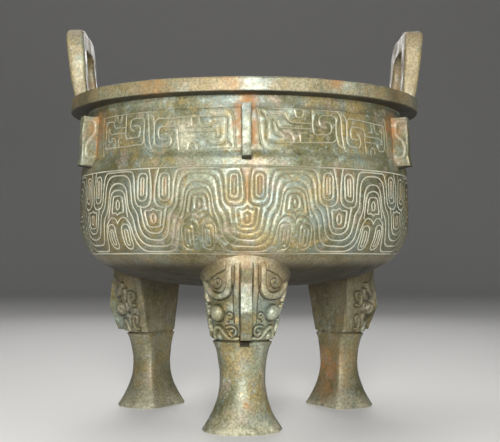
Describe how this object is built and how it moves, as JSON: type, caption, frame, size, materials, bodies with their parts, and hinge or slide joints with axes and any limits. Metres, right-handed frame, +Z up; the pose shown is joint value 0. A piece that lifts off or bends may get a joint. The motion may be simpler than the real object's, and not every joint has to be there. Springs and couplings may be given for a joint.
{
  "type": "bronze ding vessel",
  "caption": "Cast bronze tripod cauldron: round open bowl with upright ears on a flat rim, flanged neck scrolls, a broad wave frieze and hoofed legs with animal masks.",
  "frame": {"origin": "on the bowl's axis, on the plane that the feet stand on", "axes": "+Z up along the bowl's axis, -Y to the front leg, +X to the ear on the right as seen from the front"},
  "size_m": [0.2136, 0.2116, 0.23],
  "materials": {
    "bronze": "aged cast bronze, satin olive brown with pale green patina"
  },
  "bodies": {
    "root": {"ding_casting": "bronze"}
  },
  "joints": []
}
